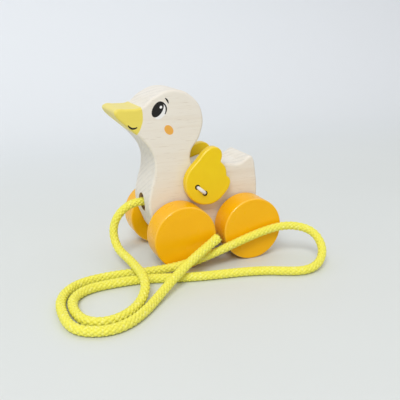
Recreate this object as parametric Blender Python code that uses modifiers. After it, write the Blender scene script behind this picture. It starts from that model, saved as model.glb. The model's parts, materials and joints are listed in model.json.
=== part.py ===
"""Wooden pull-along duck: a thick body sawn from one board, four wheels on two dowel axles that turn
in the body, two wings sewn on with one elastic, and a braided cord knotted in the belly.

Metres, +Z up. The duck faces -X, its left side is -Y, and the wheels stand on z = 0.
The origin is on the floor, under the middle of the toy's length and width.
"""
import math

import bmesh
import bpy
import numpy as np
from mathutils import Matrix, Vector

MM = 0.001
GAP = 0.3 * MM                      # left between pieces that touch

# Wheels and axles
WHEEL_RADIUS = 17.5 * MM
WHEEL_WIDTH = 14.5 * MM
WHEEL_EDGE = 1 * MM                 # rounding of both rims
WHEEL_SOCKET = 9 * MM               # depth of the blind hole for the dowel
FRONT_AXLE_X = -12.4 * MM
WHEELBASE = 40 * MM
AXLE_RADIUS = 4 * MM
AXLE_CHAMFER = 0.8 * MM
AXLE_PLAY = 0.5 * MM                # radial, in the body's bores

# Body: a board cut to the duck's outline, with all edges rounded over
BODY_THICKNESS = 27 * MM
BODY_EDGE = 1.4 * MM
TIP_RADIUS = 2 * MM                 # of the beak's and the tail's tips
SIDE_PLAY = 1.25 * MM               # between the body and each wheel
HEAD_CENTRE = (-13.4 * MM, 77.0 * MM)
HEAD_RADIUS = 17.4 * MM
BACK_HEIGHT = 52 * MM
BELLY_HEIGHT = 8 * MM

# Wings: one outline, sewn on through two holes
WING_THICKNESS = 5 * MM
WING_EDGE = 1 * MM
WING_GAP = 0.4 * MM
WING_LOBE_CENTRE = (4.4 * MM, 44.2 * MM)
WING_LOBE_RADIUS = 12.8 * MM
STITCH_CENTRE = (0.55 * MM, 40.25 * MM)
STITCH_LENGTH = 5.9 * MM
STITCH_SLOPE = math.radians(-41)
STITCH_HOLE_RADIUS = 1.5 * MM
ELASTIC_DIAMETER = 2 * MM
ELASTIC_BORE_RADIUS = 2.6 * MM
RIGHT_WING_TURN = math.radians(26)  # the right wing hangs slack, its tip further back
RIGHT_WING_LIFT = 1.2 * MM

# Pull cord
CORD_DIAMETER = 4.5 * MM
CORD_STEP = 2.0                     # diameters between the points of the tube
CORD_BORE_RADIUS = 5 * MM
CORD_BORE_MOUTH = Vector((-27.6, 0, 31.9)) * MM
CORD_BORE_SLOPE = math.radians(8)   # the bore falls towards the belly
CORD_SPLIT = 8 * MM                 # inside the mouth, where the free cord starts
RECESS_CENTRE_X = 5 * MM            # the belly recess that holds the knot
RECESS_RADIUS = 8.25 * MM
RECESS_TOP = 32 * MM
KNOT_SIZE = 2 * MM                  # a third of the knot's reach
KNOT_DEPTH = 2.1 * MM               # half the step between strands that cross
KNOT_TIGHTNESS = 0.84               # the pulled-up cord against its free diameter

# Centre line of the free cord, from the breast to its cut end. It drops over its own two long
# strands, lies in two nested loops, leans on the rear wheel in a third and ends at the front wheel.
CORD_ROUTE = [
    (-28.0, 0.0, 31.9), (-34.5, 0.0, 30.8), (-41.0, 0.0, 25.9), (-44.6, -0.8, 17.5),
    (-44.5, -5.0, 11.0), (-42.7, -19.0, 8.2), (-41.4, -33.0, 7.6), (-41.4, -43.0, 7.4),
    (-43.6, -54.0, 5.2), (-48.2, -61.2, 3.1), (-54.6, -67.8, 2.4), (-62.0, -72.2, 2.3),
    (-69.0, -72.9, 2.3), (-75.0, -69.2, 2.3), (-78.0, -60.8, 2.3), (-78.0, -51.6, 2.3),
    (-74.8, -43.6, 2.3), (-67.4, -38.2, 2.3), (-57.0, -36.4, 2.3), (-39.6, -37.2, 2.3),
    (-17.4, -43.7, 2.3), (27.5, -53.6, 2.3), (42.0, -59.2, 2.5), (52.5, -56.8, 3.8),
    (59.8, -49.2, 9.1), (59.1, -39.6, 15.2), (50.2, -33.2, 17.8), (36.5, -32.0, 17.3),
    (18.1, -32.1, 12.9), (-19.7, -32.6, 4.3), (-38.3, -28.4, 2.4), (-56.0, -27.2, 2.3),
    (-72.4, -31.6, 2.3), (-82.0, -45.0, 2.3), (-83.7, -60.0, 2.3), (-79.8, -75.6, 2.3),
    (-69.0, -80.6, 2.3), (-42.3, -63.7, 2.8), (-19.3, -44.6, 8.8), (4.0, -32.5, 16.5),
]

AXLES = {"front": FRONT_AXLE_X, "rear": FRONT_AXLE_X + WHEELBASE}
SIDES = {"left": -1, "right": 1}
WHEEL_INNER = BODY_THICKNESS / 2 + SIDE_PLAY
WING_INNER = BODY_THICKNESS / 2 + WING_GAP
WING_MIDDLE = WING_INNER + WING_THICKNESS / 2
HANDLES = {"smooth": "AUTO", "corner": "VECTOR", "level": "FREE"}
UPRIGHT = Matrix.Rotation(math.pi / 2, 4, "X")    # lays a flat outline's Y along world Z


def clear_scene():
    for item in list(bpy.data.objects):
        bpy.data.objects.remove(item, do_unlink=True)


def new_collection(name):
    group = bpy.data.collections.new(name)
    bpy.context.scene.collection.children.link(group)
    return group


def new_material(name, colour, roughness):
    material = bpy.data.materials.new(name)
    material.use_nodes = True
    shader = material.node_tree.nodes["Principled BSDF"]
    shader.inputs["Base Color"].default_value = (*colour, 1)
    shader.inputs["Roughness"].default_value = roughness
    shader.inputs["Metallic"].default_value = 0
    material.diffuse_color = (*colour, 1)
    return material


def add_object(name, data, material=None, parent=None, group=None):
    item = bpy.data.objects.new(name, data)
    (group or TOY).objects.link(item)
    item.parent = parent
    if material:
        data.materials.clear()
        data.materials.append(material)
    return item


def add_joint(name, place):
    joint = add_object(name, None)
    joint.location = place
    joint.empty_display_size = 5 * MM
    return joint


def evaluated_mesh(item, name):
    bpy.context.view_layer.update()
    graph = bpy.context.evaluated_depsgraph_get()
    mesh = bpy.data.meshes.new_from_object(item.evaluated_get(graph))
    mesh.name = name
    return mesh


def shade(mesh, angle=35):
    mesh.shade_smooth()
    mesh.set_sharp_from_angle(angle=math.radians(angle))


def flat_outline(name, points, thickness, resolution):
    """A closed outline through (x, z, kind) points, extruded to a slab about the XZ plane."""
    curve = bpy.data.curves.new(name, "CURVE")
    curve.dimensions = "2D"
    curve.fill_mode = "BOTH"
    curve.extrude = thickness / 2
    spline = curve.splines.new("BEZIER")
    spline.bezier_points.add(len(points) - 1)
    spline.use_cyclic_u = True
    spline.resolution_u = resolution
    for knot, (x, z, kind) in zip(spline.bezier_points, points):
        knot.co = (x, z, 0)
        knot.handle_left_type = knot.handle_right_type = HANDLES[kind]
        if kind == "level":
            knot.handle_left = (x + 3 * MM, z, 0)
            knot.handle_right = (x - 3 * MM, z, 0)
    item = add_object(name + "_outline", curve)
    mesh = evaluated_mesh(item, name)
    bpy.data.objects.remove(item)
    work = bmesh.new()
    work.from_mesh(mesh)
    bmesh.ops.remove_doubles(work, verts=work.verts, dist=0.001 * MM)
    bmesh.ops.dissolve_limit(work, angle_limit=math.radians(0.2), verts=work.verts, edges=work.edges)
    bmesh.ops.recalc_face_normals(work, faces=work.faces)
    bmesh.ops.transform(work, matrix=UPRIGHT, verts=work.verts)
    work.to_mesh(mesh)
    work.free()
    return mesh


def round_over(item, width, segments):
    bevel = item.modifiers.new("round_over", "BEVEL")
    bevel.width = width
    bevel.segments = segments
    bevel.limit_method = "ANGLE"
    bevel.angle_limit = math.radians(50)
    bevel.use_clamp_overlap = False
    item.modifiers.new("triangles", "TRIANGULATE")


def drill(item, name, radius, start, end, segments=32):
    """A bore between two points in the item's own space."""
    start = Vector(start)
    end = Vector(end)
    work = bmesh.new()
    bmesh.ops.create_cone(work, cap_ends=True, segments=segments, radius1=radius, radius2=radius,
                          depth=(end - start).length)
    mesh = bpy.data.meshes.new(name)
    work.to_mesh(mesh)
    work.free()
    cutter = add_object(name, mesh, group=CUTTERS)
    turn = (end - start).to_track_quat("Z", "Y").to_matrix().to_4x4()
    cutter.matrix_world = Matrix.Translation((start + end) / 2) @ turn
    cutter.hide_render = True
    cutter.display_type = "WIRE"
    cut = item.modifiers.new(name, "BOOLEAN")
    cut.operation = "DIFFERENCE"
    cut.solver = "EXACT"
    cut.object = cutter


def turned(name, profile, steps):
    """A turned mesh: the (radius, height) profile runs down the outer side and is spun about Z."""
    mesh = bpy.data.meshes.new(name)
    mesh.from_pydata([(r, 0, h) for r, h in profile], [(i, i + 1) for i in range(len(profile) - 1)], [])
    item = add_object(name + "_profile", mesh)
    spin = item.modifiers.new("spin", "SCREW")
    spin.steps = spin.render_steps = steps
    spin.use_merge_vertices = True
    spin.merge_threshold = 0.001 * MM
    solid = evaluated_mesh(item, name)
    bpy.data.objects.remove(item)
    bpy.data.meshes.remove(mesh)
    shade(solid)
    return solid


def arc(centre, radius, first, last, count):
    angles = np.radians(np.linspace(first, last, count))
    return [(centre[0] + radius * math.cos(a), centre[1] + radius * math.sin(a)) for a in angles]


def smooth_line(points, spacing):
    """Evenly spaced points on the natural cubic curve through a list of points."""
    knots = np.array(points, float)
    chord = np.linalg.norm(np.diff(knots, axis=0), axis=1)
    at = np.concatenate([[0], np.cumsum(chord)])
    count = len(knots)
    system = np.eye(count)
    load = np.zeros((count, 3))
    for i in range(1, count - 1):
        system[i, i - 1:i + 2] = chord[i - 1], 2 * (chord[i - 1] + chord[i]), chord[i]
        load[i] = 6 * ((knots[i + 1] - knots[i]) / chord[i] - (knots[i] - knots[i - 1]) / chord[i - 1])
    bend = np.linalg.solve(system, load)
    fine = np.linspace(0, at[-1], 40 * count)
    k = np.clip(np.searchsorted(at, fine, side="right") - 1, 0, count - 2)
    before = (at[k + 1] - fine)[:, None]
    after = (fine - at[k])[:, None]
    h = chord[k][:, None]
    line = ((bend[k] * before ** 3 + bend[k + 1] * after ** 3) / (6 * h)
            + (knots[k] / h - bend[k] * h / 6) * before + (knots[k + 1] / h - bend[k + 1] * h / 6) * after)
    run = np.concatenate([[0], np.cumsum(np.linalg.norm(np.diff(line, axis=0), axis=1))])
    even = np.linspace(0, run[-1], max(2, round(run[-1] / spacing) + 1))
    return np.stack([np.interp(even, run, line[:, axis]) for axis in range(3)], 1)


def tube(name, points, diameter, material, parent=None, resolution=2, tightness=None):
    curve = bpy.data.curves.new(name, "CURVE")
    curve.dimensions = "3D"
    curve.bevel_depth = diameter / 2
    curve.bevel_resolution = resolution
    curve.use_fill_caps = True
    spline = curve.splines.new("POLY")
    spline.points.add(len(points) - 1)
    for i, point in enumerate(points):
        spline.points[i].co = (*point, 1)
        spline.points[i].radius = tightness[i] if tightness is not None else 1
    spline.use_smooth = True
    return add_object(name, curve, material, parent)


def make_body(material):
    """The duck's outline, clockwise from the beak's tip, with every bore drilled in it."""
    forehead = [(-30.2 * MM, 86.2 * MM)]
    head = arc(HEAD_CENTRE, HEAD_RADIUS, 128, -28, 5)
    nape = [(-3.1 * MM, 60.6 * MM), (-2.6 * MM, 54.6 * MM), (0.6 * MM, 51.0 * MM)]
    back = [(5.4 * MM, BACK_HEIGHT - 0.8 * MM), (11.5 * MM, BACK_HEIGHT + 0.8 * MM),
            (18.0 * MM, BACK_HEIGHT + 0.5 * MM), (26.8 * MM, BACK_HEIGHT)]
    tail = arc((33.0 * MM, 53.5 * MM), TIP_RADIUS, 130, 10, 3)
    rump = [(36.6 * MM, 46.5 * MM), (37.6 * MM, 38.0 * MM), (37.0 * MM, 25.0 * MM), (34.4 * MM, 13.4 * MM)]
    belly = [(25.0 * MM, BELLY_HEIGHT, "level"), (-9.5 * MM, BELLY_HEIGHT, "level")]
    breast = [(-18.8 * MM, 11.6 * MM), (-24.6 * MM, 21.4 * MM), (-27.7 * MM, 34.0 * MM),
              (-26.2 * MM, 42.0 * MM)]
    throat = [(-23.8 * MM, 52.0 * MM), (-24.4 * MM, 59.8 * MM), (-28.4 * MM, 66.8 * MM)]
    beak_tip = arc((-42.7 * MM, 83.7 * MM), TIP_RADIUS, 225, 95, 3)
    beak_top = [(-38.0 * MM, 85.6 * MM)]
    outline = [(x, z, "smooth") for x, z in forehead + head + nape + back + tail + rump]
    outline += belly + [(x, z, "smooth") for x, z in breast + throat + beak_tip + beak_top]
    mesh = flat_outline("duck_body", outline, BODY_THICKNESS, 7)
    shade(mesh)
    body = add_object("duck_body", mesh, material)
    round_over(body, BODY_EDGE, 3)

    side = BODY_THICKNESS
    for axle, x in AXLES.items():
        drill(body, axle + "_axle_bore", AXLE_RADIUS + AXLE_PLAY, (x, -side, WHEEL_RADIUS),
              (x, side, WHEEL_RADIUS))
    for name, (x, z) in elastic_bores().items():
        drill(body, name + "_elastic_bore", ELASTIC_BORE_RADIUS, (x, -side, z), (x, side, z), 16)
    drill(body, "belly_recess", RECESS_RADIUS, (RECESS_CENTRE_X, 0, 0), (RECESS_CENTRE_X, 0, RECESS_TOP), 40)
    drill(body, "cord_bore", CORD_BORE_RADIUS, cord_bore_point(-6 * MM), cord_bore_point(32 * MM))
    return body


def cord_bore_point(depth):
    """A point on the breast bore's axis, at a depth from its mouth."""
    return CORD_BORE_MOUTH + Vector((math.cos(CORD_BORE_SLOPE), 0, -math.sin(CORD_BORE_SLOPE))) * depth


def stitch_holes(side):
    """The (x, z) of a wing's two holes, the upper one first, where that wing hangs."""
    turn = STITCH_SLOPE - (RIGHT_WING_TURN if side == "right" else 0)
    lift = RIGHT_WING_LIFT if side == "right" else 0
    along = Vector((math.cos(turn), math.sin(turn))) * STITCH_LENGTH / 2
    centre = Vector(STITCH_CENTRE) + Vector((0, lift))
    return {"upper": centre - along, "lower": centre + along}


def elastic_bores():
    """The body's two bores lie midway between the left and the right wing's holes."""
    left = stitch_holes("left")
    right = stitch_holes("right")
    return {name: (left[name] + right[name]) / 2 for name in left}


def make_wing_mesh():
    """The wing about its stitch: a round lobe in front, a swept tip and two scallops behind."""
    lobe = arc(WING_LOBE_CENTRE, WING_LOBE_RADIUS, 160, 322, 7)
    front = [(-0.6 * MM, 57.4 * MM), (3.9 * MM, 62.0 * MM)]
    tip = [(7.8 * MM, 63.6 * MM), (11.7 * MM, 62.2 * MM), (13.1 * MM, 59.0 * MM)]
    scallops = [(12.4 * MM, 55.2 * MM, "corner"), (15.3 * MM, 51.4 * MM, "smooth"),
                (16.0 * MM, 47.0 * MM, "corner"), (18.0 * MM, 44.8 * MM, "smooth"),
                (18.0 * MM, 41.6 * MM, "smooth")]
    outline = [(x, z, "smooth") for x, z in front + tip] + scallops
    outline += [(x, z, "smooth") for x, z in reversed(lobe)]
    sx, sz = STITCH_CENTRE
    mesh = flat_outline("wing", [(x - sx, z - sz, kind) for x, z, kind in outline], WING_THICKNESS, 6)
    blank = add_object("wing_blank", mesh)
    round_over(blank, WING_EDGE, 3)
    along = Vector((math.cos(STITCH_SLOPE), 0, math.sin(STITCH_SLOPE))) * STITCH_LENGTH / 2
    through = Vector((0, WING_THICKNESS, 0))
    for name, end in (("upper_stitch_hole", -along), ("lower_stitch_hole", along)):
        drill(blank, name, STITCH_HOLE_RADIUS, end - through, end + through, 16)
    wing = evaluated_mesh(blank, "wing")
    bpy.data.objects.remove(blank)
    shade(wing)
    return wing


def wing_hinge_place(side):
    """Where the wing rocks: its lower front edge on the body, along the line of the stitch."""
    turn = RIGHT_WING_TURN if side == "right" else 0
    centre = Vector(STITCH_CENTRE) + Vector((0, RIGHT_WING_LIFT if side == "right" else 0))
    across = Vector((-math.sin(STITCH_SLOPE - turn), math.cos(STITCH_SLOPE - turn)))
    lobe = Matrix.Rotation(-turn, 2) @ (Vector(WING_LOBE_CENTRE) - Vector(STITCH_CENTRE)) + centre
    edge = lobe - across * (WING_LOBE_RADIUS - WING_EDGE)
    return Vector((edge.x, SIDES[side] * WING_INNER, edge.y))


def make_wing(side, mesh, paint, thread):
    """A wing on its hinge, with the elastic's stitch through its two holes."""
    sign = SIDES[side]
    hinge = add_joint(side + "_wing_hinge", wing_hinge_place(side))
    wing = add_object(side + "_wing", mesh, paint, hinge)
    lift = RIGHT_WING_LIFT if side == "right" else 0
    middle = Vector((STITCH_CENTRE[0], sign * WING_MIDDLE, STITCH_CENTRE[1] + lift))
    wing.location = middle - hinge.location
    wing.rotation_euler.y = RIGHT_WING_TURN if side == "right" else 0
    holes = stitch_holes(side)
    inner = sign * (WING_INNER - GAP / 2)
    outer = sign * (WING_INNER + WING_THICKNESS + GAP + ELASTIC_DIAMETER / 2)
    knee = sign * (WING_INNER + WING_THICKNESS - 0.6 * MM)
    upper, lower = holes["upper"], holes["lower"]
    quarter = (lower - upper) * 0.2
    path = [(upper.x, inner, upper.y), (upper.x, knee, upper.y),
            (upper.x + quarter.x, outer, upper.y + quarter.y),
            (lower.x - quarter.x, outer, lower.y - quarter.y),
            (lower.x, knee, lower.y), (lower.x, inner, lower.y)]
    line = smooth_line([Vector(p) - hinge.location for p in path], ELASTIC_DIAMETER * 0.6)
    tube(side + "_wing_stitch", line, ELASTIC_DIAMETER, thread, hinge)


def make_elastic(thread):
    """The elastic's two strands across the body, from the left wing's holes to the right wing's."""
    reach = WING_INNER - GAP * 1.5
    for name, left in stitch_holes("left").items():
        right = stitch_holes("right")[name]
        ends = [Vector((left.x, -reach, left.y)), Vector((right.x, reach, right.y))]
        tube("elastic_" + name + "_strand", [ends[0], (ends[0] + ends[1]) / 2, ends[1]],
             ELASTIC_DIAMETER, thread)


def make_wheelset(axle, x, paint, wood):
    """Two wheels glued on a dowel that turns in the body."""
    joint = add_joint(axle + "_axle_joint", (x, 0, WHEEL_RADIUS))
    reach = WHEEL_INNER + WHEEL_SOCKET - GAP
    flat = AXLE_RADIUS - AXLE_CHAMFER
    dowel = turned(axle + "_axle", [(0, reach), (flat, reach), (AXLE_RADIUS, reach - AXLE_CHAMFER),
                                    (AXLE_RADIUS, AXLE_CHAMFER - reach), (flat, -reach), (0, -reach)], 24)
    item = add_object(axle + "_axle", dowel, wood, joint)
    item.rotation_euler.x = math.pi / 2
    for side, sign in SIDES.items():
        wheel = add_object(f"{axle}_{side}_wheel", WHEEL_MESH, paint, joint)
        wheel.location.y = sign * WHEEL_INNER
        wheel.rotation_euler.x = -sign * math.pi / 2


def make_wheel_mesh():
    """A wheel with its outer face up: rounded rims, a plain face and a blind socket behind."""
    rim = WHEEL_RADIUS - WHEEL_EDGE
    socket = AXLE_RADIUS + GAP
    mouth = 0.7 * MM
    profile = [(0, WHEEL_WIDTH)]
    profile += arc((rim, WHEEL_WIDTH - WHEEL_EDGE), WHEEL_EDGE, 90, 0, 5)
    profile += arc((rim, WHEEL_EDGE), WHEEL_EDGE, 0, -90, 5)
    profile += [(socket + mouth, 0), (socket, mouth), (socket, WHEEL_SOCKET), (0, WHEEL_SOCKET)]
    return turned("wheel", profile, 40)


def make_cord(material):
    """The free cord from the breast, and the run inside the body to its knot in the belly."""
    start = cord_bore_point(CORD_SPLIT)
    route = [tuple(start)] + [tuple(Vector(p) * MM) for p in CORD_ROUTE]
    line = smooth_line(route, CORD_STEP * CORD_DIAMETER)
    line[:, 2] = np.maximum(line[:, 2], CORD_DIAMETER / 2 + 0.05 * MM)
    tube("pull_cord", line, CORD_DIAMETER, material, resolution=3)

    centre = Vector((RECESS_CENTRE_X, 0, 0))
    centre.z = cord_bore_point(RECESS_CENTRE_X - CORD_BORE_MOUTH.x).z - 3 * KNOT_SIZE
    knot = []
    for t in np.linspace(math.pi + 0.3, 3 * math.pi - 0.75, 22):
        across = KNOT_SIZE * (math.sin(t) + 2 * math.sin(2 * t))
        rise = KNOT_SIZE * (2 * math.cos(2 * t) - math.cos(t))
        knot.append(centre + Vector((across, -KNOT_DEPTH * math.sin(3 * t), rise)))
    run = [cord_bore_point(depth) for depth in (CORD_SPLIT + GAP, 14 * MM, 20 * MM, 26 * MM)]
    line = smooth_line([tuple(p) for p in run + knot], 2.4 * MM)
    pulled = np.clip((line[:, 0] - cord_bore_point(17 * MM).x) / (8 * MM), 0, 1)
    pulled = np.maximum.accumulate(pulled)
    tightness = 1 - (1 - KNOT_TIGHTNESS) * pulled
    tube("pull_cord_knot", line, CORD_DIAMETER, material, tightness=tightness)


clear_scene()
TOY = new_collection("pull_along_duck")
CUTTERS = new_collection("cutters")
beech = new_material("pale_wood", (0.76, 0.69, 0.56), 0.6)
dowel_wood = new_material("dowel_wood", (0.70, 0.58, 0.42), 0.65)
wheel_paint = new_material("orange_paint", (0.83, 0.39, 0.02), 0.35)
wing_paint = new_material("yellow_paint", (0.80, 0.55, 0.02), 0.4)
thread = new_material("white_elastic", (0.85, 0.84, 0.80), 0.8)
braid = new_material("lemon_braid", (0.86, 0.82, 0.12), 0.75)

make_body(beech)
WHEEL_MESH = make_wheel_mesh()
for axle_name, axle_x in AXLES.items():
    make_wheelset(axle_name, axle_x, wheel_paint, dowel_wood)
WING_MESH = make_wing_mesh()
for side_name in SIDES:
    make_wing(side_name, WING_MESH, wing_paint, thread)
make_elastic(thread)
make_cord(braid)
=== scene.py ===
import json
import math

import bmesh
import bpy
import numpy as np
from mathutils import Matrix, Vector


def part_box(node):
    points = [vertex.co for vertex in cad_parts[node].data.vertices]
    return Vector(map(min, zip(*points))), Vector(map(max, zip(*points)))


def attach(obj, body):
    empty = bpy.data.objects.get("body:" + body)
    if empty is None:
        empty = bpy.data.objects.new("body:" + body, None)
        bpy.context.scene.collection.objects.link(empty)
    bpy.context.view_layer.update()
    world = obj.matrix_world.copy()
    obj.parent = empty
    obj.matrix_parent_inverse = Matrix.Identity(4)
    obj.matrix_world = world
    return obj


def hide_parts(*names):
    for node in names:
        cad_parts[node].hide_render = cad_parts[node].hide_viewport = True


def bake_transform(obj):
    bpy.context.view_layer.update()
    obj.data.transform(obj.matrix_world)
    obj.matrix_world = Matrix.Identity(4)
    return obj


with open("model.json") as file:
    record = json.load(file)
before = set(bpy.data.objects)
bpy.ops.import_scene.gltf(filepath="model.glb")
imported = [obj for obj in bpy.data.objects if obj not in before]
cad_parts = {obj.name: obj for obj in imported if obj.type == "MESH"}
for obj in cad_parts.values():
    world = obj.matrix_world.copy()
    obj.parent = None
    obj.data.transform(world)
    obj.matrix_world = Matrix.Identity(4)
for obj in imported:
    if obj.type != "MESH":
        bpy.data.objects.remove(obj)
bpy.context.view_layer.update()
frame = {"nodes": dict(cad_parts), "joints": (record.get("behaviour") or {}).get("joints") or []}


# The duck's body
# One thick board of pale beech, sawn to the duck's outline, its edges rounded over and its faces
# whitewashed. Drilled across for two axles and the elastic, and from breast to belly for the cord.
mm = 0.001
board_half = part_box("duck_body")[1].y
board_edge = 1.4 * mm
tip_radius = 2 * mm
head_centre = (-13.4 * mm, 77.0 * mm)
head_radius = 17.4 * mm
back_height = 52 * mm
belly_height = 8 * mm
axle_places = [joint["pos_m"] for joint in frame["joints"] if "axle" in joint["name"]]
axle_bore = 4.5 * mm
elastic_bore = 2.6 * mm
elastic_bores = [(-1.14 * mm, 43.18 * mm), (2.24 * mm, 38.52 * mm)]
cord_mouth = Vector((-27.6, 0, 31.9)) * mm
cord_bore = 5 * mm
cord_bore_slope = math.radians(8)
cord_bore_ahead = 6 * mm
cord_bore_depth = 32 * mm
recess_x = 5 * mm
recess_radius = 8.25 * mm
recess_top = 32 * mm
level_handle = 3 * mm
weld = 0.001 * mm
scene = bpy.context.scene


def arc(centre, radius, first, last, count):
    turn = np.radians(np.linspace(first, last, count))
    return [(centre[0] + radius * math.cos(a), centre[1] + radius * math.sin(a)) for a in turn]


def place(name, mesh):
    item = bpy.data.objects.new(name, mesh)
    scene.collection.objects.link(item)
    return item


def settle(item, name):
    """The item with its modifiers applied, as a plain mesh; the item itself goes."""
    bpy.context.view_layer.update()
    graph = bpy.context.evaluated_depsgraph_get()
    mesh = bpy.data.meshes.new_from_object(item.evaluated_get(graph))
    mesh.name = name
    bpy.data.objects.remove(item)
    return mesh


def sawn(name, outline, half, edge, bores):
    """A slab sawn to an outline of (x, z, kind) points, its edges rounded, with bores through it."""
    curve = bpy.data.curves.new(name, "CURVE")
    curve.dimensions = "2D"
    curve.fill_mode = "BOTH"
    curve.extrude = half
    spline = curve.splines.new("BEZIER")
    spline.bezier_points.add(len(outline) - 1)
    spline.use_cyclic_u = True
    spline.resolution_u = 16
    handles = {"smooth": "AUTO", "corner": "VECTOR", "level": "FREE"}
    for knot, (x, z, kind) in zip(spline.bezier_points, outline):
        knot.co = (x, z, 0)
        knot.handle_left_type = knot.handle_right_type = handles[kind]
        if kind == "level":
            knot.handle_left = (x + level_handle, z, 0)
            knot.handle_right = (x - level_handle, z, 0)
    mesh = settle(place(name, curve), name)
    work = bmesh.new()
    work.from_mesh(mesh)
    bmesh.ops.remove_doubles(work, verts=work.verts, dist=weld)
    bmesh.ops.dissolve_limit(work, angle_limit=math.radians(0.05), verts=work.verts,
                             edges=work.edges)
    bmesh.ops.recalc_face_normals(work, faces=work.faces)
    bmesh.ops.transform(work, matrix=Matrix.Rotation(math.pi / 2, 4, "X"), verts=work.verts)
    work.to_mesh(mesh)
    work.free()
    slab = place(name, mesh)
    bevel = slab.modifiers.new("round_over", "BEVEL")
    bevel.width = edge
    bevel.segments = 5
    bevel.limit_method = "ANGLE"
    bevel.angle_limit = math.radians(50)
    bevel.use_clamp_overlap = False
    slab.modifiers.new("triangles", "TRIANGULATE")
    drills = []
    for start, end, radius in bores:
        middle = (Vector(start) + Vector(end)) / 2
        way = Vector(end) - Vector(start)
        turn = way.to_track_quat("Z", "Y").to_matrix().to_4x4()
        work = bmesh.new()
        bmesh.ops.create_cone(work, cap_ends=True, segments=56, radius1=radius, radius2=radius,
                              depth=way.length)
        bmesh.ops.transform(work, matrix=Matrix.Translation(middle) @ turn, verts=work.verts)
        drill = place("drill", bpy.data.meshes.new("drill"))
        work.to_mesh(drill.data)
        work.free()
        cut = slab.modifiers.new("bore", "BOOLEAN")
        cut.operation = "DIFFERENCE"
        cut.solver = "EXACT"
        cut.object = drill
        drills.append(drill)
    mesh = settle(slab, name)
    for drill in drills:
        bpy.data.objects.remove(drill)
    work = bmesh.new()
    work.from_mesh(mesh)
    bmesh.ops.dissolve_degenerate(work, dist=weld, edges=work.edges)
    bmesh.ops.remove_doubles(work, verts=work.verts, dist=weld)
    work.to_mesh(mesh)
    work.free()
    return mesh


def even_shading(mesh, name):
    """Smooth shading in which the broad faces stay flat and only real corners stay sharp."""
    mesh.shade_smooth()
    mesh.set_sharp_from_angle(angle=math.radians(35))
    item = place(name, mesh)
    flatten = item.modifiers.new("flat_faces", "WEIGHTED_NORMAL")
    flatten.keep_sharp = True
    return place(name, settle(item, name))


forehead = [(-30.2 * mm, 86.2 * mm)]
head = arc(head_centre, head_radius, first=128, last=-28, count=5)
nape = [(-3.1 * mm, 60.6 * mm), (-2.6 * mm, 54.6 * mm), (0.6 * mm, 51.0 * mm)]
back = [(5.4 * mm, back_height - 0.8 * mm), (11.5 * mm, back_height + 0.8 * mm),
        (18.0 * mm, back_height + 0.5 * mm), (26.8 * mm, back_height)]
tail = arc((33.0 * mm, 53.5 * mm), tip_radius, first=130, last=10, count=3)
rump = [(36.6 * mm, 46.5 * mm), (37.6 * mm, 38.0 * mm), (37.0 * mm, 25.0 * mm),
        (34.4 * mm, 13.4 * mm)]
belly = [(25.0 * mm, belly_height, "level"), (-9.5 * mm, belly_height, "level")]
breast = [(-18.8 * mm, 11.6 * mm), (-24.6 * mm, 21.4 * mm), (-27.7 * mm, 34.0 * mm),
          (-26.2 * mm, 42.0 * mm)]
throat = [(-23.8 * mm, 52.0 * mm), (-24.4 * mm, 59.8 * mm), (-28.4 * mm, 66.8 * mm)]
beak_tip = arc((-42.7 * mm, 83.7 * mm), tip_radius, first=225, last=95, count=3)
beak_top = [(-38.0 * mm, 85.6 * mm)]
duck_outline = [(x, z, "smooth") for x, z in forehead + head + nape + back + tail + rump]
duck_outline += belly + [(x, z, "smooth") for x, z in breast + throat + beak_tip + beak_top]

into_breast = Vector((math.cos(cord_bore_slope), 0, -math.sin(cord_bore_slope)))
past_side = 2 * board_half
duck_bores = [((x, -past_side, z), (x, past_side, z), axle_bore) for x, _, z in axle_places]
duck_bores += [((x, -past_side, z), (x, past_side, z), elastic_bore) for x, z in elastic_bores]
duck_bores.append(((recess_x, 0, 0), (recess_x, 0, recess_top), recess_radius))
duck_bores.append((cord_mouth - into_breast * cord_bore_ahead,
                   cord_mouth + into_breast * cord_bore_depth, cord_bore))
board = sawn("body_board", duck_outline, board_half, board_edge, duck_bores)
body = even_shading(board, "body_board")


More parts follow.
